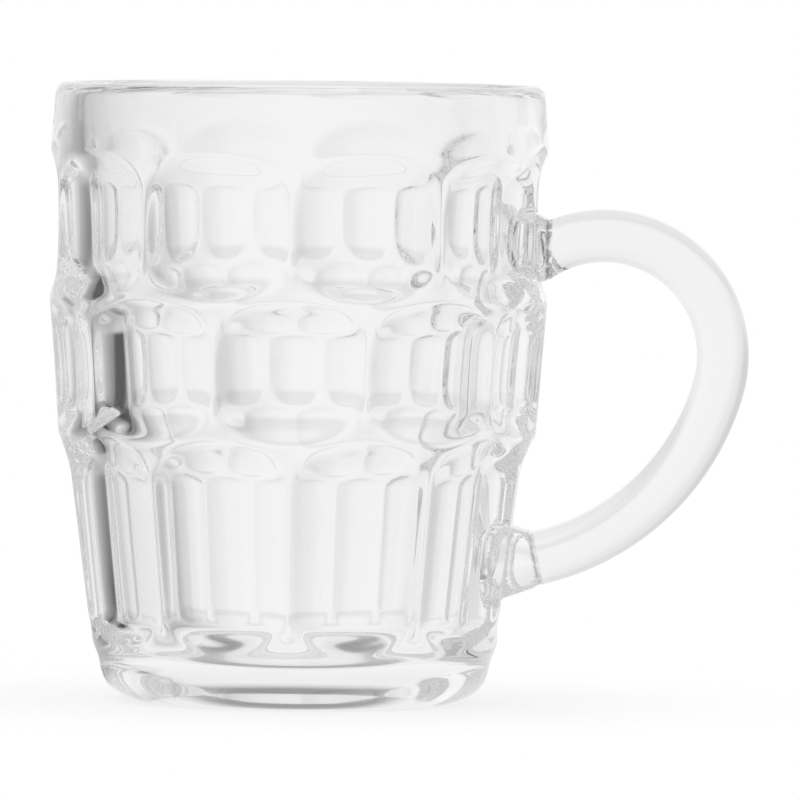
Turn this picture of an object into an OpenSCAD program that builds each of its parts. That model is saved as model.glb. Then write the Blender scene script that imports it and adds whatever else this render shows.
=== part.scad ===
// Dimpled glass beer mug: a pressed bowl with three rows of hollows, and a handle stuck to two pads on it.
// Millimetres, +Z up, origin on the bowl's axis at the table. The handle lies along +X.

/* [Bowl outside] */
// Height of the tapered foot, up to the edge from which the bowl widens more slowly
foot_h = 17.5; // [15:0.5:22]
// Height of the band of flutes
flute_h = 36.5; // [32:0.1:42]
// Height of the band of middle dimples
middle_h = 27.9; // [24:0.1:32]
// Height of the band of upper dimples
upper_h = 29.3; // [25:0.1:34]
// Height of the plain band under the rim
rim_h = 13.8; // [8:0.1:24]
// Radius of the band of upper dimples
shoulder_r = 50.5; // [46:0.1:56]
// How far the rim lies inside that band
rim_in = 0.9; // [0:0.1:2]
// How far the waist, between the middle dimples and the flutes, lies inside the shoulder
waist_in = 2.1; // [0.5:0.1:4]
// How far the bottom of the flutes lies inside the waist
flute_in = 5; // [4:0.1:8]
// How far the foot tapers in from the flutes down to its rounded corner
foot_in = 3.9; // [2:0.1:5]
// Radius of the rounded corner under the foot
foot_corner = 8; // [4:0.1:10]

/* [Bowl inside] */
// Thickness of the wall at the rim
rim_t = 5.1; // [5:0.1:7]
// Thickness of the wall between the bottom of the flutes and the inside just above its floor
low_wall_t = 6.4; // [5.4:0.1:9]
// How far the inside wall bulges beyond a straight taper
inside_bulge = 1; // [0:0.1:2]
// Thickness of the glass under the inside floor
floor_t = 5; // [4.5:0.1:12]
// Radius of the corner round the inside floor
floor_corner = 14; // [6:0.5:18]
// Rounding of the outer and the inner edge of the rim
rim_round = 2.4; // [1:0.1:2.5]
// Width of the flat ring that the foot stands on, round the shallow hollow under it
ring_w = 5; // [3:0.5:12]
// Depth of the shallow hollow under the foot
hollow_depth = 1.8; // [1:0.1:2.5]

/* [Dimples] */
// Number of dimples in each row
dimples = 10; // [9:1:14]
// Radius of each hollow across the bowl
across_r = 100; // [92:1:140]
// Radius of each dimple up and down its middle
along_r = 90; // [60:1:91]
// Radius of the rounded ends of each dimple
end_r = 11; // [8:0.5:12]
// Radius of the arched top of each flute
arch_r = 14.6; // [10:0.2:18]
// How much the radius of the turn at the bottom of each flute exceeds the flute's depth
turn_extra = 5; // [2:0.1:8]
// How far each flute runs down over the edge of the foot
flute_run = 7; // [3:0.1:9]
// Width of the plain ridge between two hollows of a row
ridge_w = 0.8; // [0.6:0.1:2]
// Plain glass between the end of a hollow and the edge of its band
row_gap = 0.4; // [0.3:0.1:1.5]

/* [Handle] */
// Thickness of the handle, seen from the side
handle_t = 10.5; // [8:0.1:13]
// Width of the handle, across the hand
handle_w = 17; // [14:0.5:22]
// Rounding of the long edges of the handle
handle_edge = 3.8; // [2:0.1:3.9]
// Radius of the upper bend, on its centre line
bend_r = 24.1; // [21:0.1:30]
// Radius of the lower sweep, on its centre line
sweep_r = 49.5; // [45:0.5:60]
// Distance from the upper pad out to the centre of the bend
bend_out = 11.3; // [8:0.1:14]
// Angle below level at which the bend runs into the sweep
turn_angle = 15.5; // [10:0.5:25]
// Angle below level at which the sweep ends on the lower pad
end_angle = 77; // [72:0.5:81]
// Height of the upper joint above the bottom of the upper dimples
joint_up = 10.3; // [7.5:0.1:14]
// How far the upper pad stands out from the upper band
pad_proud = 0.2; // [0.2:0.1:2]
// How far each pad stands out round the end of the handle
pad_edge = 0.7; // [0.3:0.1:1.5]

/* [Hidden] */
$fn = 96;
full_turn = 360;
// Overrun of every cut
over = 1;
// How far a cutter reaches past the ridges beside it
cutter_over = 3;
// Turn of the middle row against the other two
middle_turn_share = 1 / 2;
// How far a hollow's end circle crosses its floor, so that the two meet in a soft crease
crease = 0.06;
// Steps of a small arc and of the inside wall in a profile
arc_steps = 6;
wall_steps = 8;

flute_z = foot_h;
waist_z = flute_z + flute_h;
shoulder_z = waist_z + middle_h;
rim_z = shoulder_z + upper_h;
mug_h = rim_z + rim_h;
waist_r = shoulder_r - waist_in;
foot_top_r = waist_r - flute_in;
foot_r = foot_top_r - foot_in;
rim_r = shoulder_r - rim_in;
mouth_r = rim_r - rim_t;
floor_r = foot_top_r - low_wall_t;
hollow_r = foot_r - foot_corner - ring_w;
// Lower end of the flutes, on the line of their band carried on downwards
run_z = flute_z - flute_run;
run_r = foot_top_r - flute_run * flute_in / flute_h;

pitch = full_turn / dimples;
joint_z = shoulder_z + joint_up;
pad_x = shoulder_r + pad_proud;
bend_x = pad_x + bend_out;
bend_z = joint_z - sqrt(bend_r * bend_r - bend_out * bend_out);
sweep_x = bend_x - (sweep_r - bend_r) * cos(turn_angle);
sweep_z = bend_z + (sweep_r - bend_r) * sin(turn_angle);
// Slope of the handle where the upper pad cuts it, and its height on that cut
upper_slope = asin(bend_out / bend_r);
upper_cut_t = handle_t / cos(upper_slope);

function arc(x, z, r, from, to) =
    [for (i = [0 : arc_steps]) let (a = from + (to - from) * i / arc_steps) [x + r * cos(a), z + r * sin(a)]];

// Radius of the inside wall, by its share of the way up from the floor
function inside_r(up_share) =
    floor_r + (mouth_r - floor_r) * up_share + inside_bulge * 4 * up_share * (1 - up_share);

// Depth of a hollow that leaves plain ridges beside it on a band of radius r
function hollow_t(r) =
    let (half_w = r * sin(pitch / 2) - ridge_w / 2)
    r - sqrt(r * r - half_w * half_w) + across_r - sqrt(across_r * across_r - half_w * half_w);

// How far an end circle of radius r carries a flute of depth t beyond the circle's centre
function end_reach(r, t) = sqrt(r * r - (r - crease - t) * (r - crease - t));

// Outside of the bowl as a profile, from the table to the rim
module outside_profile()
    polygon(concat(
        [[0, 0]],
        arc(foot_r - foot_corner, foot_corner, foot_corner, -90, 0),
        [[foot_top_r, flute_z], [waist_r, waist_z], [shoulder_r, shoulder_z], [shoulder_r, rim_z]],
        arc(rim_r - rim_round, mug_h - rim_round, rim_round, 0, 90),
        [[0, mug_h]]
    ));

// Inside of the bowl as a profile, with the rounded floor corner and the rounded inner edge of the rim
module inside_profile()
    polygon(concat(
        [[0, floor_t]],
        arc(floor_r - floor_corner, floor_t + floor_corner, floor_corner, -90, 0),
        [
            for (i = [1 : wall_steps])
                let (up_share = i / wall_steps, low = floor_t + floor_corner, high = mug_h - rim_round)
                [inside_r(up_share), low + (high - low) * up_share]
        ],
        arc(mouth_r + rim_round, mug_h - rim_round, rim_round, 180, 90),
        [[mouth_r + rim_round, mug_h + over], [0, mug_h + over]]
    ));

// A cutter on the wall of a band: the profile's floor lies at the hollow's depth under the band, and the cutter
// turns about an axis outside the bowl, parallel to that floor.
module wall_cutter(low_r, low_z, high_r, high_z) {
    low_x = low_r - hollow_t(low_r);
    high_x = high_r - hollow_t(high_r);
    tilt = atan((high_x - low_x) / (high_z - low_z));
    half_sweep = asin((high_r * sin(pitch / 2) + cutter_over) / across_r);
    translate([(low_x + high_x) / 2, 0, (low_z + high_z) / 2])
        rotate([0, tilt, 0])
            translate([across_r, 0, 0])
                rotate([0, 0, full_turn / 2 - half_sweep])
                    rotate_extrude(angle = 2 * half_sweep)
                        children();
}

// Profile of a dimple's cutter: a wide arc for its floor, with a rounded end above and below
module dimple_profile(half_h, t) {
    // the centre of the end circle: it passes through the edge of the dimple and just crosses the floor
    reach = along_r - end_r + crease;
    edge_dx = along_r - t;
    edge_d = sqrt(edge_dx * edge_dx + half_h * half_h);
    along = (edge_d * edge_d + reach * reach - end_r * end_r) / (2 * edge_d);
    aside = sqrt(reach * reach - along * along);
    end_x = (along * edge_dx + aside * half_h) / edge_d;
    end_v = (along * half_h - aside * edge_dx) / edge_d;
    floor_v = along_r * end_v / reach;
    translate([across_r - along_r, 0])
        intersection() {
            circle(along_r);
            union() {
                translate([end_x, -floor_v])
                    square([along_r - end_x + over, 2 * floor_v]);
                for (side = [-1, 1])
                    translate([end_x, side * end_v])
                        circle(end_r);
            }
        }
}

// Profile of a flute's cutter: a straight floor, an arched top and a tighter turn at the bottom
module flute_profile(half_h, t) {
    turn_r = t + turn_extra;
    arch_v = half_h - end_reach(arch_r, t);
    turn_v = end_reach(turn_r, t) - half_h;
    intersection() {
        translate([across_r - 2 * arch_r, -2 * half_h])
            square([2 * arch_r, 4 * half_h]);
        union() {
            translate([across_r - arch_r, turn_v])
                square([arch_r + over, arch_v - turn_v]);
            translate([across_r - arch_r + crease, arch_v])
                circle(arch_r);
            translate([across_r - turn_r + crease, turn_v])
                circle(turn_r);
        }
    }
}

// Every second hollow of a row, from the given first one, turned by a share of the pitch
module every_second(first, turn_share)
    for (i = [first : 2 : dimples - 1])
        rotate([0, 0, (i + turn_share) * pitch])
            children();

// The first child with a row of the second child cut out of it, neighbours one after the other
module cut_row(turn_share)
    difference() {
        difference() {
            children(0);
            every_second(0, turn_share) children(1);
        }
        every_second(1, turn_share) children(1);
    }

module upper_dimple()
    wall_cutter(shoulder_r, shoulder_z, shoulder_r, rim_z)
        dimple_profile(upper_h / 2 - row_gap, hollow_t(shoulder_r));

module middle_dimple()
    wall_cutter(waist_r, waist_z, shoulder_r, shoulder_z)
        dimple_profile(middle_h / 2 - row_gap, hollow_t((waist_r + shoulder_r) / 2));

module flute()
    wall_cutter(run_r, run_z, waist_r, waist_z)
        flute_profile((flute_h + flute_run) / 2 - row_gap, hollow_t((run_r + waist_r) / 2));

module rounded_rect(w, h, r) {
    square([w - 2 * r, h], center = true);
    square([w, h - 2 * r], center = true);
    for (x = [-1, 1], y = [-1, 1])
        translate([x * (w / 2 - r), y * (h / 2 - r)])
            circle(r);
}

// Pads in the hollows under the handle: each starts inside the bowl, and the inside cut trims it to the wall
module handle_pads() {
    pad_w = handle_w + 2 * pad_edge;
    pad_corner = handle_edge + pad_edge;
    translate([floor_r, 0, joint_z])
        rotate([90, 0, 90])
            linear_extrude(pad_x - floor_r)
                rounded_rect(pad_w, upper_cut_t + 2 * pad_edge, pad_corner);
    lower_x = sweep_x + sweep_r * cos(end_angle);
    lower_pad_l = (lower_x - floor_r) / sin(end_angle);
    translate([sweep_x, 0, sweep_z])
        rotate([0, end_angle, 0])
            translate([sweep_r, 0, -lower_pad_l])
                linear_extrude(lower_pad_l)
                    rounded_rect(handle_t + 2 * pad_edge, pad_w, pad_corner);
}

module mug_body() {
    hollow_ball_r = (hollow_r * hollow_r + hollow_depth * hollow_depth) / (2 * hollow_depth);
    color("aliceblue")
        difference() {
            union() {
                cut_row(0) {
                    cut_row(middle_turn_share) {
                        cut_row(0) {
                            rotate_extrude() outside_profile();
                            upper_dimple();
                        }
                        middle_dimple();
                    }
                    flute();
                }
                handle_pads();
            }
            rotate_extrude() inside_profile();
            translate([0, 0, hollow_depth - hollow_ball_r])
                sphere(hollow_ball_r);
        }
}

// The handle's section follows two arcs in the plane of the handle; the upper end is cut flat against its pad
module handle() {
    bend_sweep = turn_angle + 90 + asin((bend_out + over) / (bend_r - handle_t / 2));
    color("lightcyan")
        difference() {
            translate([bend_x, 0, bend_z])
                rotate([0, turn_angle, 0])
                    rotate([90, 0, 0]) {
                        rotate_extrude(angle = bend_sweep)
                            translate([bend_r, 0]) rounded_rect(handle_t, handle_w, handle_edge);
                        translate([bend_r - sweep_r, 0, 0])
                            rotate_extrude(angle = turn_angle - end_angle)
                                translate([sweep_r, 0]) rounded_rect(handle_t, handle_w, handle_edge);
                    }
            translate([0, -handle_w, bend_z])
                cube([pad_x, 2 * handle_w, bend_r + handle_t]);
        }
}

mug_body();
handle();
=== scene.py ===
"""Dimpled glass beer mug on a white studio sweep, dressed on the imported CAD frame."""

import math

import bpy
import numpy as np
from mathutils import Matrix, Vector


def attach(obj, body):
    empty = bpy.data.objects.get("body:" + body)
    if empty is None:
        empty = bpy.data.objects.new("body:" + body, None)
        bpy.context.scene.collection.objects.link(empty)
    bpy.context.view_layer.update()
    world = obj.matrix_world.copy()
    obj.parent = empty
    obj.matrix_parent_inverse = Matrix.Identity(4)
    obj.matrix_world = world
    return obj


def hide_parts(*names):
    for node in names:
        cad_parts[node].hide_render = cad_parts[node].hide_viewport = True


MM = 0.001
DEGREE = math.pi / 180

# Bowl, in millimetres, as in the part's source
FOOT_H, FLUTE_H, MIDDLE_H, UPPER_H, RIM_H = 17.5, 36.5, 27.9, 29.3, 13.8
SHOULDER_R, WAIST_IN, FLUTE_IN, FOOT_IN = 50.5, 2.1, 5.0, 3.9
FOOT_CORNER = 8.0
RIM_IN, RIM_T, LOW_WALL_T, INSIDE_BULGE = 0.9, 5.1, 6.4, 1.0
FLOOR_T, FLOOR_CORNER, RIM_ROUND = 5.0, 14.0, 2.4
RING_W, UNDER_DEPTH = 5.0, 1.8

# Hollows, as in the part's source
DIMPLES = 10
ACROSS_R, ALONG_R, END_R, ARCH_R = 100.0, 90.0, 11.0, 14.6
TURN_EXTRA, RIDGE_W, ROW_GAP = 5.0, 0.8, 0.4
FLUTE_RUN = 7.0

# Handle and its pads, as in the part's source
HANDLE_T, HANDLE_W, HANDLE_EDGE = 10.5, 17.0, 3.8
BEND_R, SWEEP_R, BEND_OUT = 24.1, 49.5, 11.3
TURN_ANGLE, END_ANGLE = math.radians(15.5), math.radians(77)
JOINT_UP, PAD_PROUD, PAD_EDGE = 10.3, 0.2, 0.7

# Softness of the hollows' edges: along their sides, at the ends of rows and at the flutes' feet
SOFT_EDGE, SOFT_END, SOFT_RUN = 0.22, 0.45, 0.6
# Height over which the softness of an end dies away
END_SPAN = 5.0
# Half the height over which the bowl's bends are rounded
SOFT_BEND = 1.2
# Gap at the seams, how far inside its edge a pad starts to fall away, and how steeply it does
SEAM_GAP, PAD_SOFT, PAD_STEEP = 0.04, 0.5, 3.0
# How steeply a flute's cutter leaves the bowl past its turn
TURN_STEEP = 4.0
# Furthest that a cutter's surface is taken to lie outside the bowl
OUTSIDE_LIMIT = 20.0
# Rounds of averaging that settle where a cutter meets a line from the axis, and the least square in them
SOLVE_ROUNDS, LEAST_SQUARE = 12, 1.0

# Points round half a hollow, the same beside the handle, and how strongly they are drawn to the ridges
SECTOR_STEPS, PAD_SECTOR_STEPS, RIDGE_PULL = 20, 36, 0.6
# Points along the underside, a rounded edge, the inside wall, its lower corner and the floor
UNDER_STEPS, ROUND_STEPS, INSIDE_STEPS, CORNER_STEPS, FLOOR_STEPS = 9, 8, 22, 11, 7
# Points along a corner of the handle's section, its bend and its sweep
SECTION_STEPS, BEND_STEPS, SWEEP_STEPS = 12, 60, 50
# Radius of the innermost ring of the underside and of the floor
CENTRE_R = 2.0
# Distance between rings near a bend of the bowl and on the plain rim
FINE_STEP, RIM_STEP = 0.5, 1.6

# Derived sizes
FLUTE_Z = FOOT_H
WAIST_Z = FLUTE_Z + FLUTE_H
SHOULDER_Z = WAIST_Z + MIDDLE_H
RIM_Z = SHOULDER_Z + UPPER_H
MUG_H = RIM_Z + RIM_H
WAIST_R = SHOULDER_R - WAIST_IN
FOOT_TOP_R = WAIST_R - FLUTE_IN
FOOT_R = FOOT_TOP_R - FOOT_IN
RIM_R = SHOULDER_R - RIM_IN
MOUTH_R = RIM_R - RIM_T
FLOOR_R = FOOT_TOP_R - LOW_WALL_T
UNDER_R = FOOT_R - FOOT_CORNER - RING_W
PITCH = 2 * math.pi / DIMPLES
RUN_R = FOOT_TOP_R - FLUTE_RUN * FLUTE_IN / FLUTE_H
PAD_X = SHOULDER_R + PAD_PROUD
JOINT_Z = SHOULDER_Z + JOINT_UP
BEND_X = PAD_X + BEND_OUT
BEND_Z = JOINT_Z - math.sqrt(BEND_R**2 - BEND_OUT**2)
SWEEP_X = BEND_X - (SWEEP_R - BEND_R) * math.cos(TURN_ANGLE)
SWEEP_Z = BEND_Z + (SWEEP_R - BEND_R) * math.sin(TURN_ANGLE)
END_X = SWEEP_X + SWEEP_R * math.cos(END_ANGLE)
END_Z = SWEEP_Z - SWEEP_R * math.sin(END_ANGLE)
# Each bend of the bowl, how far below and above it the rings are closer, and their distance further below
BENDS = [(FLUTE_Z, 9, 2, 1.0), (WAIST_Z, 12, 5, 1.0), (SHOULDER_Z, 5, 6, 1.0), (RIM_Z, 6, 1, 0.9)]

# Glass: its refraction, and the share of light let through by the bowl and by the much thicker handle
GLASS_IOR, BODY_CLEAR, HANDLE_CLEAR = 1.52, 0.985, 0.95
# Waves of the pressed surface: how many to the metre, their height in millimetres and their detail
WAVES, WAVE_H, WAVE_DETAIL = 42.0, 0.08, 1.0
# Grain of the two seams where the handle was stuck on hot, in the same units, and its roughness
GRAIN, GRAIN_H, GRAIN_DETAIL, GRAIN_ROUGH = 900.0, 0.12, 3.0, 0.1
# How far the grain reaches on each side of a seam
WELD_NEAR, WELD_FAR = 0.35, 0.9
# The oval ring that it covers round the handle's edge, from inside to outside
OVAL_IN, OVAL_FULL, OVAL_FADE, OVAL_END = 4.2, 4.9, 7.0, 8.5
# The handle's width over its thickness, which makes that ring an oval
OVAL_WIDE = 1.6
# Dark spots in the seams' tone: detail, contrast, and the share of light let through
SPOT_DETAIL, SPOT_GAIN, SPOT_SHIFT, SPOT_TONE = 2.0, 5.0, -1.7, 0.2
# How strong the lower seam's marks are beside the upper one's
LOWER_WELD = 0.55
GLASS_BOUNCES = 32

# Tone of the studio above the table as the glass shows it, by degrees right of straight ahead of the camera
STUDIO_TONES = [
    (-180, 0.88), (-150, 0.86), (-110, 0.72), (-75, 0.62), (-58, 0.48), (-45, 0.54),
    (-30, 0.7), (-16, 0.85), (-2, 0.94), (25, 0.97), (40, 0.92), (60, 0.85),
    (80, 0.78), (100, 0.68), (120, 0.68), (150, 0.82), (180, 0.88),
]
# Tone of the table in the same directions, with something dark standing on it at the far left
TABLE_TONES = [
    (-180, 0.88), (-140, 0.83), (-110, 0.65), (-92, 0.45), (-82, 0.05), (-70, 0.05), (-62, 0.24),
    (-55, 0.32), (-45, 0.43), (-30, 0.67), (-16, 0.85), (-2, 0.94), (25, 0.97), (40, 0.92),
    (60, 0.86), (80, 0.8), (100, 0.68), (120, 0.68), (150, 0.82), (180, 0.88),
]
# Height above the horizon, as a sine, over which the table's tones give way to the studio's
HAZE_TOP = 0.17
# Tone of both by degrees above the horizon
HEIGHT_TONES = [(-90, 0.9), (-20, 0.97), (0, 1.0), (15, 0.97), (30, 0.9), (60, 0.72), (90, 0.7)]
# Tone of the table under and round the mug as the glass shows it, by millimetres from the axis; the dark
# ring at 17 to 21 mm is a painted contact shadow under the foot ring
# The table is also a little darker from about 165 to 240 mm out.
UNDER_SHADOW_TONES = [
    (0, 0.9), (13, 0.8), (17, 0.25), (21, 0.2), (25, 0.88), (40, 0.95),
    (65, 1.0), (115, 0.99), (165, 0.89), (240, 0.87), (330, 0.97), (400, 1.0),
]
# Where the light under the mug gives way to the tones by direction
UNDER_EDGE, UNDER_OPEN = 36.0, 60.0

# Table: half its width, how far it lies below the foot, and its own white
TABLE_HALF, TABLE_DROP, TABLE_WHITE = 3000.0, 0.05, 0.97
# Where the shadow that the camera sees starts and ends to fade, and the share of it that shows
SHADE_NEAR, SHADE_FAR, SHADE_SHARE = 50.0, 120.0, 0.2

# Camera, fitted to the photo; its clip distances are in metres
CAMERA_AZIMUTH, CAMERA_ELEVATION = math.radians(1.5), math.radians(2.31)
CAMERA_DISTANCE, CAMERA_ROLL = 2500.0, math.radians(0.64)
CAMERA_TARGET = (20.8, 0.0, 61.2)
FRAME_WIDTH, SENSOR_WIDTH = 162.1, 36.0
CLIP_NEAR, CLIP_FAR = 0.01, 20.0

# Sockets of a colour Mix node, which share their names with those for other kinds of value
MIX_FIRST, MIX_SECOND, MIX_RESULT = 6, 7, 2


def mesh_object(name, points, faces):
    """A smooth mesh object from points in millimetres."""
    mesh = bpy.data.meshes.new(name)
    mesh.from_pydata((np.asarray(points) * MM).tolist(), [], faces)
    mesh.polygons.foreach_set("use_smooth", np.ones(len(mesh.polygons), bool))
    mesh.update()
    made = bpy.data.objects.new(name, mesh)
    bpy.context.scene.collection.objects.link(made)
    return made


def soft_max(values, soft):
    """The largest of the arrays, with rounded changes from one to the next."""
    return soft * np.logaddexp.reduce([v / soft for v in values])


def band_radius(z):
    """Radius of the bowl before its hollows are pressed in, with slightly rounded bends."""
    heights = [FOOT_CORNER, FLUTE_Z, WAIST_Z, SHOULDER_Z, RIM_Z, MUG_H - RIM_ROUND]
    radii = [FOOT_R, FOOT_TOP_R, WAIST_R, SHOULDER_R, SHOULDER_R, RIM_R]
    low = np.interp(z - SOFT_BEND, heights, radii)
    high = np.interp(z + SOFT_BEND, heights, radii)
    return (low + 2 * np.interp(z, heights, radii) + high) / 4


def hollow_depth(r):
    """Depth of a hollow that leaves plain ridges beside it on a band of this radius."""
    half_w = r * math.sin(PITCH / 2) - RIDGE_W / 2
    return r - math.sqrt(r**2 - half_w**2) + ACROSS_R - math.sqrt(ACROSS_R**2 - half_w**2)


def dimple_reach(v, half_h, t):
    """How far a dimple's cutter reaches from its own axis, at v along its height."""
    reach = ALONG_R - END_R
    edge_x = ALONG_R - t
    edge_d = math.hypot(edge_x, half_h)
    along = (edge_d**2 + reach**2 - END_R**2) / (2 * edge_d)
    aside = math.sqrt(reach**2 - along**2)
    end_x = (along * edge_x + aside * half_h) / edge_d
    end_v = (along * half_h - aside * edge_x) / edge_d
    floor_v = ALONG_R * end_v / reach
    floor = np.sqrt(np.maximum(ALONG_R**2 - v**2, 0))
    out = np.abs(v) - end_v
    end = end_x + np.sqrt(np.maximum(END_R**2 - out**2, 0)) - np.maximum(out - END_R, 0)
    return ACROSS_R - ALONG_R + np.where(np.abs(v) < floor_v, floor, end)


def flute_reach(v, half_h, t):
    """How far a flute's cutter reaches: a straight floor, an arched top and a tight turn below."""
    turn_r = t + TURN_EXTRA
    arch_v = half_h - math.sqrt(ARCH_R**2 - (ARCH_R - t) ** 2)
    turn_v = math.sqrt(turn_r**2 - TURN_EXTRA**2) - half_h
    above = np.maximum(v - arch_v, 0)
    below = np.maximum(turn_v - v, 0)
    arch_drop = ARCH_R - np.sqrt(np.maximum(ARCH_R**2 - above**2, 0)) + np.maximum(above - ARCH_R, 0)
    turn_past = TURN_STEEP * np.maximum(below - turn_r, 0)
    turn_drop = turn_r - np.sqrt(np.maximum(turn_r**2 - below**2, 0)) + turn_past
    return ACROSS_R - arch_drop - turn_drop


def hollow_radius(azimuth, z, turn, low, high, reach):
    """Radius at which one row of cutters passes, inside the band's radius or outside it."""
    (low_r, low_z), (high_r, high_z) = low, high
    low_x = low_r - hollow_depth(low_r)
    high_x = high_r - hollow_depth(high_r)
    tilt = math.atan((high_x - low_x) / (high_z - low_z))
    mid_x, mid_z = (low_x + high_x) / 2, (low_z + high_z) / 2
    half_h = (high_z - low_z) / 2 - ROW_GAP
    t = hollow_depth((low_r + high_r) / 2)
    off = (azimuth - turn * PITCH + PITCH / 2) % PITCH - PITCH / 2
    r = band_radius(z) + np.zeros_like(off)
    for _ in range(SOLVE_ROUNDS):
        x, y = r * np.cos(off), r * np.sin(off)
        v = (x - mid_x) * math.sin(tilt) + (z - mid_z) * math.cos(tilt)
        radius = reach(v, half_h, t)
        u = ACROSS_R - np.sqrt(np.maximum(radius**2 - y**2, LEAST_SQUARE))
        surface_x = mid_x + (u + (z - mid_z) * math.sin(tilt)) / math.cos(tilt)
        r = (r + surface_x / np.cos(off)) / 2
    return r


def edge_distance(y, w, half_y, half_w, corner):
    """Signed distance out of a rounded rectangle."""
    dy = y - half_y + corner
    dw = w - half_w + corner
    outside = np.hypot(np.maximum(dy, 0), np.maximum(dw, 0))
    return outside + np.minimum(np.maximum(dy, dw), 0) - corner


def pad_radius(azimuth, face_x, up, half_h):
    """Radius of a pad whose flat face lies at face_x and up from its middle, falling away round its edge."""
    face = face_x / np.cos(azimuth)
    aside = np.abs(face * np.sin(azimuth))
    out = edge_distance(aside, np.abs(up), HANDLE_W / 2 + PAD_EDGE, half_h, HANDLE_EDGE + PAD_EDGE)
    front = np.cos(azimuth) > math.cos(PITCH)
    return np.where(front, face - PAD_STEEP * np.maximum(out + PAD_SOFT, 0), 0)


def pad_radii(azimuth, z):
    """Radii of the two pads under the handle's ends, the upper one upright and the lower one leaning."""
    slope = math.asin(BEND_OUT / BEND_R)
    upper_h = HANDLE_T / math.cos(slope) / 2 + PAD_EDGE
    lower_h = HANDLE_T / 2 + PAD_EDGE
    lower_x = END_X - (z - END_Z) / math.tan(END_ANGLE)
    upper = pad_radius(azimuth, PAD_X, z - JOINT_Z, upper_h)
    lower = pad_radius(azimuth, lower_x, (z - END_Z) / math.sin(END_ANGLE), lower_h)
    return [upper, lower]


def edge_softness(z):
    """How soft the edges of the hollows are: softer where one row ends, and softest at the flutes' feet."""
    ends = [(FLUTE_Z - FLUTE_RUN, SOFT_RUN), (WAIST_Z, SOFT_END), (SHOULDER_Z, SOFT_END), (RIM_Z, SOFT_END)]
    return SOFT_EDGE + max((soft - SOFT_EDGE) * math.exp(-(((z - at) / END_SPAN) ** 2)) for at, soft in ends)


def outside_radius(azimuth, z):
    """Radius of the finished outside at each azimuth and height."""
    band = band_radius(z) + np.zeros_like(azimuth)
    rows = [
        (0.0, (SHOULDER_R, SHOULDER_Z), (SHOULDER_R, RIM_Z), dimple_reach),
        (0.5, (WAIST_R, WAIST_Z), (SHOULDER_R, SHOULDER_Z), dimple_reach),
        (0.0, (RUN_R, FLUTE_Z - FLUTE_RUN), (WAIST_R, WAIST_Z), flute_reach),
    ]
    depths = [np.zeros_like(band)]
    for turn, low, high, reach in rows:
        depth = band - hollow_radius(azimuth, z, turn, low, high, reach)
        depths.append(np.maximum(depth, -OUTSIDE_LIMIT))
    pressed = band - soft_max(depths, edge_softness(z))
    return soft_max([pressed] + pad_radii(azimuth, z), SOFT_EDGE)


def azimuths():
    """Directions round the bowl, closer together at the ridges and all over the pads."""
    sector = PITCH / 2
    found = []
    for i in range(2 * DIMPLES):
        by_handle = i in (0, 2 * DIMPLES - 1)
        steps = PAD_SECTOR_STEPS if by_handle else SECTOR_STEPS
        share = np.arange(steps) / steps
        pull = 0.0 if by_handle else RIDGE_PULL
        found.append(sector * (i + share - pull * np.sin(2 * math.pi * share) / (2 * math.pi)))
    return np.concatenate(found)


def heights_between(start, end, step):
    """Heights from start to just below end, about a step apart."""
    count = max(int(round((end - start) / step)), 1)
    return np.linspace(start, end, count, endpoint=False)


def wall_heights():
    """Heights of the rings up the outside, closer together at the ends of the hollows and pads."""
    start, top = FOOT_CORNER, MUG_H - RIM_ROUND
    found = []
    for bend, below, above, step in BENDS:
        found.append(heights_between(start, bend - below, step))
        found.append(heights_between(bend - below, bend + above, FINE_STEP))
        start = bend + above
    found.append(heights_between(start, top, RIM_STEP))
    found.append([top])
    return np.concatenate(found)


def arc_points(x, z, r, start, end, count):
    """Points along an arc between two angles in degrees."""
    angles = np.radians(np.linspace(start, end, count))
    return [(x + r * math.cos(a), z + r * math.sin(a)) for a in angles]


def underside_points():
    """Profile of the hollow under the foot and of the foot's rounded corner, from the middle outwards."""
    ball_r = (UNDER_R**2 + UNDER_DEPTH**2) / (2 * UNDER_DEPTH)
    radii = np.linspace(CENTRE_R, UNDER_R, UNDER_STEPS)
    points = [(r, UNDER_DEPTH - ball_r + math.sqrt(ball_r**2 - r**2)) for r in radii]
    return points + arc_points(FOOT_R - FOOT_CORNER, FOOT_CORNER, FOOT_CORNER, -90, 0, ROUND_STEPS)[:-1]


def rim_points():
    """Profile of the rounded rim, from the outside over to the inside."""
    z = MUG_H - RIM_ROUND
    points = arc_points(RIM_R - RIM_ROUND, z, RIM_ROUND, 0, 90, ROUND_STEPS)[1:]
    return points + arc_points(MOUTH_R + RIM_ROUND, z, RIM_ROUND, 90, 180, ROUND_STEPS)[:-1]


def inside_points():
    """Profile of the inside from the rim down to the floor, and across it to the middle."""
    low, high = FLOOR_T + FLOOR_CORNER, MUG_H - RIM_ROUND
    shares = np.linspace(1, 0, INSIDE_STEPS)
    wall = FLOOR_R + (MOUTH_R - FLOOR_R) * shares + INSIDE_BULGE * 4 * shares * (1 - shares)
    points = list(zip(wall, low + (high - low) * shares))
    points += arc_points(FLOOR_R - FLOOR_CORNER, low, FLOOR_CORNER, 0, -90, CORNER_STEPS)[1:]
    points += [(r, FLOOR_T) for r in np.linspace(FLOOR_R - FLOOR_CORNER, CENTRE_R, FLOOR_STEPS)[1:]]
    return points


def ring_faces(ring_count, count):
    """Four-sided faces between rings that follow each other and have the same number of points."""
    faces = []
    for ring in range(ring_count - 1):
        low, high = ring * count, (ring + 1) * count
        for i in range(count):
            j = (i + 1) % count
            faces.append((low + i, low + j, high + j, high + i))
    return faces


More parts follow.
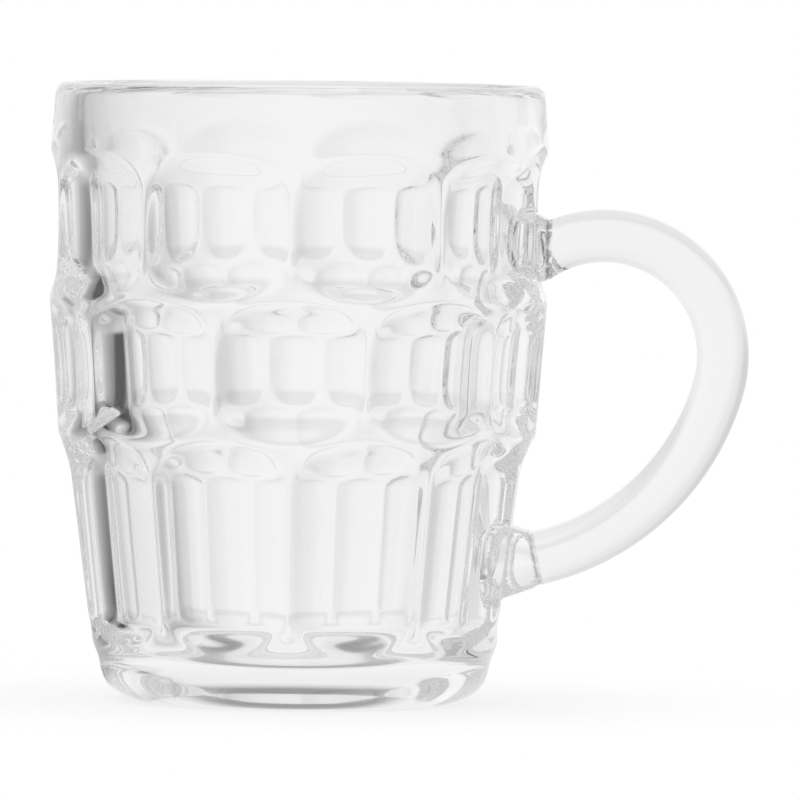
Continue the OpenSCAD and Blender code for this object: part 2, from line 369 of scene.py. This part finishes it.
def body():
    """The pressed bowl as one closed skin: underside, foot, hollows, rim and inside."""
    turn = azimuths()
    rings = [(np.full_like(turn, r), z) for r, z in underside_points()]
    rings += [(outside_radius(turn, z), z) for z in wall_heights()]
    rings += [(np.full_like(turn, r), z) for r, z in rim_points() + inside_points()]
    points = [np.column_stack([r * np.cos(turn), r * np.sin(turn), np.full_like(turn, z)]) for r, z in rings]
    points.append(np.array([[0, 0, UNDER_DEPTH], [0, 0, FLOOR_T]]))
    count = len(turn)
    faces = ring_faces(len(rings), count)
    under_middle = len(rings) * count
    floor_middle, last = under_middle + 1, under_middle - count
    for i in range(count):
        j = (i + 1) % count
        faces.append((under_middle, j, i))
        faces.append((floor_middle, last + i, last + j))
    return mesh_object("bowl", np.concatenate(points), faces)


def section():
    """The handle's rounded rectangle as points (outward, across), in order round it."""
    half_t, half_w = HANDLE_T / 2 - HANDLE_EDGE, HANDLE_W / 2 - HANDLE_EDGE
    points = []
    corners = [(1, 1, 0), (-1, 1, 90), (-1, -1, 180), (1, -1, 270)]
    for side_t, side_w, start in corners:
        points += arc_points(side_t * half_t, side_w * half_w, HANDLE_EDGE, start, start + 90, SECTION_STEPS)
    return np.array(points)


def section_ring(across, x, z, r, angle):
    """One ring of the handle: its section turned to an angle round the centre of an arc."""
    return np.column_stack([x + r * np.cos(angle), across, z + r * np.sin(angle)])


def handle():
    """The handle's section swept along the bend and the sweep, its upper end flat against the pad."""
    outward, across = section().T
    bend_r, sweep_r = BEND_R + outward, SWEEP_R + outward
    start = np.arccos((PAD_X + SEAM_GAP - BEND_X) / bend_r)
    end = END_ANGLE - SEAM_GAP / SWEEP_R
    rings = []
    for share in np.linspace(0, 1, BEND_STEPS):
        angle = start + (-TURN_ANGLE - start) * share
        rings.append(section_ring(across, BEND_X, BEND_Z, bend_r, angle))
    for share in np.linspace(0, 1, SWEEP_STEPS)[1:]:
        angle = -TURN_ANGLE - (end - TURN_ANGLE) * share
        rings.append(section_ring(across, SWEEP_X, SWEEP_Z, sweep_r, angle))
    count = len(across)
    faces = [(a, d, c, b) for a, b, c, d in ring_faces(len(rings), count)]
    last = (len(rings) - 1) * count
    faces.append(tuple(range(count)))
    faces.append(tuple(last + i for i in reversed(range(count))))
    return mesh_object("handle_loop", np.concatenate(rings), faces)


def node(tree, kind, **values):
    """A new shader node with the properties given."""
    made = tree.nodes.new(kind)
    for key, value in values.items():
        setattr(made, key, value)
    return made


def feed(tree, value, socket):
    """Link a node's output to a socket, or set the socket's own value."""
    if isinstance(value, bpy.types.NodeSocket):
        tree.links.new(value, socket)
    else:
        socket.default_value = value


def maths(tree, operation, *values, clamp=False):
    """Result of a maths node, from numbers and other nodes' outputs."""
    made = node(tree, "ShaderNodeMath", operation=operation, use_clamp=clamp)
    for value, socket in zip(values, made.inputs):
        feed(tree, value, socket)
    return made.outputs[0]


def split_xyz(tree, vector):
    """The three outputs for a vector's parts."""
    made = node(tree, "ShaderNodeSeparateXYZ")
    tree.links.new(vector, made.inputs[0])
    return made.outputs["X"], made.outputs["Y"], made.outputs["Z"]


def length_of(tree, vector):
    """A vector's length."""
    made = node(tree, "ShaderNodeVectorMath", operation="LENGTH")
    tree.links.new(vector, made.inputs[0])
    return made.outputs["Value"]


def fade(tree, value, start, end, unit=MM):
    """A soft step from 0 at one value to 1 at the other, both in millimetres unless a unit is given."""
    made = node(tree, "ShaderNodeMapRange", interpolation_type="SMOOTHSTEP")
    tree.links.new(value, made.inputs["Value"])
    made.inputs["From Min"].default_value = start * unit
    made.inputs["From Max"].default_value = end * unit
    return made.outputs["Result"]


def noise(tree, place, scale, detail):
    """Soft noise over a place, with so many lumps to the metre."""
    made = node(tree, "ShaderNodeTexNoise")
    tree.links.new(place, made.inputs["Vector"])
    made.inputs["Scale"].default_value = scale
    made.inputs["Detail"].default_value = detail
    return made.outputs["Fac"]


def grey(tone):
    """A grey as a colour with full cover."""
    return (tone, tone, tone, 1)


def mixed_tone(tree, share, first, second, blend="MIX"):
    """A colour made from two, each a plain colour or a node's output."""
    made = node(tree, "ShaderNodeMix", data_type="RGBA", blend_type=blend)
    feed(tree, share, made.inputs["Factor"])
    feed(tree, first, made.inputs[MIX_FIRST])
    feed(tree, second, made.inputs[MIX_SECOND])
    return made.outputs[MIX_RESULT]


def mixed_shader(tree, share, first, second):
    """The first shader where the share is 0 and the second where it is 1."""
    made = node(tree, "ShaderNodeMixShader")
    tree.links.new(share, made.inputs["Fac"])
    tree.links.new(first, made.inputs[1])
    tree.links.new(second, made.inputs[2])
    return made.outputs[0]


def ramp(tree, value, tones, unit):
    """A smooth grey ramp over a value, from the first of the tones to the last, placed in the unit given."""
    low, high = tones[0][0], tones[-1][0]
    share = node(tree, "ShaderNodeMapRange")
    tree.links.new(value, share.inputs["Value"])
    share.inputs["From Min"].default_value = low * unit
    share.inputs["From Max"].default_value = high * unit
    made = node(tree, "ShaderNodeValToRGB")
    tree.links.new(share.outputs["Result"], made.inputs["Fac"])
    made.color_ramp.interpolation = "EASE"
    stops = made.color_ramp.elements
    while len(stops) < len(tones):
        stops.new(position=0.5)
    for stop, (at, tone) in zip(stops, tones):
        stop.position = (at - low) / (high - low)
        stop.color = grey(tone)
    return made.outputs["Color"]


def weld_share(tree, place, centre, turn):
    """1 round the edge of a seam between the handle and a pad, fading to 0 close by."""
    local = node(tree, "ShaderNodeMapping", vector_type="TEXTURE")
    local.inputs["Location"].default_value = [length * MM for length in centre]
    local.inputs["Rotation"].default_value = (0, turn, 0)
    local.inputs["Scale"].default_value = (1, OVAL_WIDE, 1)
    tree.links.new(place, local.inputs["Vector"])
    x, y, z = split_xyz(tree, local.outputs["Vector"])
    flat = node(tree, "ShaderNodeCombineXYZ")
    tree.links.new(y, flat.inputs["Y"])
    tree.links.new(z, flat.inputs["Z"])
    away = length_of(tree, flat.outputs["Vector"])
    near = fade(tree, maths(tree, "ABSOLUTE", x), WELD_FAR, WELD_NEAR)
    inner = fade(tree, away, OVAL_IN, OVAL_FULL)
    outer = fade(tree, away, OVAL_END, OVAL_FADE)
    return maths(tree, "MULTIPLY", near, maths(tree, "MULTIPLY", inner, outer))


def both_welds(tree, place):
    """The shares of the two seams together, with the lower one weaker."""
    upper = weld_share(tree, place, (PAD_X, 0, JOINT_Z), 0)
    lower = weld_share(tree, place, (END_X, 0, END_Z), END_ANGLE - math.pi / 2)
    return maths(tree, "MAXIMUM", upper, maths(tree, "MULTIPLY", lower, LOWER_WELD))


def darkened_seams(tree, place, welded, clear):
    """The glass's own tone, with dark spots in the seams."""
    lumps = noise(tree, place, GRAIN, SPOT_DETAIL)
    spots = maths(tree, "MULTIPLY_ADD", lumps, SPOT_GAIN, SPOT_SHIFT, clamp=True)
    return mixed_tone(tree, maths(tree, "MULTIPLY", welded, spots), grey(clear), grey(SPOT_TONE))


def bump(tree, height, distance):
    """A bump node for a height that a node gives, up to a distance in millimetres."""
    made = node(tree, "ShaderNodeBump")
    made.inputs["Distance"].default_value = distance * MM
    tree.links.new(height, made.inputs["Height"])
    return made


def glass(name, clear):
    """Clear pressed glass with a faint waviness, and grainy where the handle was stuck on."""
    made = bpy.data.materials.new(name)
    made.use_nodes = True
    tree = made.node_tree
    shader = tree.nodes["Principled BSDF"]
    shader.inputs["IOR"].default_value = GLASS_IOR
    shader.inputs["Transmission Weight"].default_value = 1.0
    place = node(tree, "ShaderNodeTexCoord").outputs["Object"]
    welded = both_welds(tree, place)
    waves = bump(tree, noise(tree, place, WAVES, WAVE_DETAIL), WAVE_H)
    grain = bump(tree, noise(tree, place, GRAIN, GRAIN_DETAIL), GRAIN_H)
    tree.links.new(welded, grain.inputs["Strength"])
    tree.links.new(waves.outputs["Normal"], grain.inputs["Normal"])
    tree.links.new(grain.outputs["Normal"], shader.inputs["Normal"])
    tree.links.new(darkened_seams(tree, place, welded, clear), shader.inputs["Base Color"])
    tree.links.new(maths(tree, "MULTIPLY", welded, GRAIN_ROUGH), shader.inputs["Roughness"])
    return made


def studio_tone(tree, vector, tones):
    """The tone in the direction of a vector from the mug, from tones right and left of straight ahead."""
    unit = node(tree, "ShaderNodeVectorMath", operation="NORMALIZE")
    tree.links.new(vector, unit.inputs[0])
    x, y, z = split_xyz(tree, unit.outputs["Vector"])
    around = ramp(tree, maths(tree, "ARCTAN2", x, y), tones, DEGREE)
    above = ramp(tree, maths(tree, "ARCSINE", z), HEIGHT_TONES, DEGREE)
    return mixed_tone(tree, 1.0, around, above, blend="MULTIPLY")


def shown_by_glass(tree):
    """1 for rays that glass sends on, which show the studio, and 0 for others."""
    path = node(tree, "ShaderNodeLightPath")
    return maths(tree, "MAXIMUM", path.outputs["Is Glossy Ray"], path.outputs["Is Transmission Ray"])


def studio_world():
    """White for the camera and for soft light; what the glass shows is a studio with darker sides."""
    world = bpy.data.worlds.new("studio")
    bpy.context.scene.world = world
    world.use_nodes = True
    tree = world.node_tree
    tree.nodes.clear()
    output = node(tree, "ShaderNodeOutputWorld")
    back = node(tree, "ShaderNodeBackground")
    tree.links.new(back.outputs[0], output.inputs[0])
    direction = node(tree, "ShaderNodeTexCoord").outputs["Generated"]
    up = split_xyz(tree, direction)[2]
    low = studio_tone(tree, direction, TABLE_TONES)
    high = studio_tone(tree, direction, STUDIO_TONES)
    toned = mixed_tone(tree, fade(tree, up, 0, HAZE_TOP, 1), low, high)
    shown = mixed_tone(tree, shown_by_glass(tree), grey(1), toned)
    tree.links.new(shown, back.inputs["Color"])


def plain_table(tree, away):
    """The table for the camera and for soft light: white, with a shadow that fades round the mug."""
    shader = tree.nodes["Principled BSDF"]
    shader.inputs["Base Color"].default_value = grey(TABLE_WHITE)
    shader.inputs["Roughness"].default_value = 1.0
    shader.inputs["Specular IOR Level"].default_value = 0.0
    faded = fade(tree, away, SHADE_NEAR, SHADE_FAR)
    share = maths(tree, "MULTIPLY_ADD", faded, SHADE_SHARE, 1 - SHADE_SHARE)
    light = node(tree, "ShaderNodeEmission")
    white = mixed_shader(tree, share, shader.outputs[0], light.outputs[0])
    path = node(tree, "ShaderNodeLightPath")
    return mixed_shader(tree, path.outputs["Is Camera Ray"], shader.outputs[0], white)


def table_in_glass(tree, place, away):
    """The table as the glass shows it: the tones by direction, times those by distance from the axis, which
    hold a painted contact shadow under the foot.
    """
    light = node(tree, "ShaderNodeEmission")
    toned = studio_tone(tree, place, TABLE_TONES)
    lit = mixed_tone(tree, fade(tree, away, UNDER_EDGE, UNDER_OPEN), grey(1), toned)
    tree.links.new(lit, light.inputs["Color"])
    # Painted contact shadow: the strength falls to a dark ring under the foot ring
    tree.links.new(ramp(tree, away, UNDER_SHADOW_TONES, MM), light.inputs["Strength"])
    return light.outputs[0]


def floor():
    """A wide white table that keeps a soft shadow round the mug and fades to plain white."""
    half = TABLE_HALF
    points = [(-half, -half, 0), (half, -half, 0), (half, half, 0), (-half, half, 0)]
    made = mesh_object("table", np.array(points), [(0, 1, 2, 3)])
    paint = bpy.data.materials.new("white_table")
    paint.use_nodes = True
    tree = paint.node_tree
    place = node(tree, "ShaderNodeTexCoord").outputs["Object"]
    away = length_of(tree, place)
    plain, in_glass = plain_table(tree, away), table_in_glass(tree, place, away)
    done = mixed_shader(tree, shown_by_glass(tree), plain, in_glass)
    tree.links.new(done, tree.nodes["Material Output"].inputs["Surface"])
    made.data.materials.append(paint)
    made.location.z = -TABLE_DROP * MM
    return made


def camera():
    """The photo's camera, far off and nearly level."""
    data = bpy.data.cameras.new("camera")
    made = bpy.data.objects.new("camera", data)
    bpy.context.scene.collection.objects.link(made)
    a, e = CAMERA_AZIMUTH, CAMERA_ELEVATION
    back = Vector((math.sin(a) * math.cos(e), -math.cos(a) * math.cos(e), math.sin(e)))
    target = Vector(CAMERA_TARGET) * MM
    place = Matrix.Translation(target + back * CAMERA_DISTANCE * MM)
    aim = (-back).to_track_quat("-Z", "Y").to_matrix().to_4x4()
    made.matrix_world = place @ aim @ Matrix.Rotation(CAMERA_ROLL, 4, "Z")
    data.sensor_width = SENSOR_WIDTH
    data.lens = data.sensor_width * CAMERA_DISTANCE / FRAME_WIDTH
    data.clip_start, data.clip_end = CLIP_NEAR, CLIP_FAR
    bpy.context.scene.camera = made


def light_paths():
    """Enough bounces for light that is turned back many times inside the thick glass."""
    cycles = bpy.context.scene.cycles
    cycles.max_bounces = GLASS_BOUNCES
    cycles.glossy_bounces = GLASS_BOUNCES
    cycles.transmission_bounces = GLASS_BOUNCES


def dress(piece, node_name, material):
    """Give a piece its glass, hang it on the root body, and hide the imported part of that node's name."""
    piece.data.materials.append(material)
    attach(piece, "root")
    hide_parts(node_name)


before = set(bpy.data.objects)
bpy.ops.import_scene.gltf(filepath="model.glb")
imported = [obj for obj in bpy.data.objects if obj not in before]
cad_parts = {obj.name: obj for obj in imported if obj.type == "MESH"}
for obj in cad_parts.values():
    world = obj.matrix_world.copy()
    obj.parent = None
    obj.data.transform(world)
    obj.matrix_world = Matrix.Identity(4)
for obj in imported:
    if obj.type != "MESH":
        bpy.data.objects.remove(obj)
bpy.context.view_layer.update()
bowl = body()
loop = handle()
dress(bowl, "mug_body", glass("body_glass", BODY_CLEAR))
dress(loop, "handle", glass("handle_glass", HANDLE_CLEAR))
floor()
studio_world()
camera()
bpy.context.scene.view_settings.view_transform = "Standard"
light_paths()
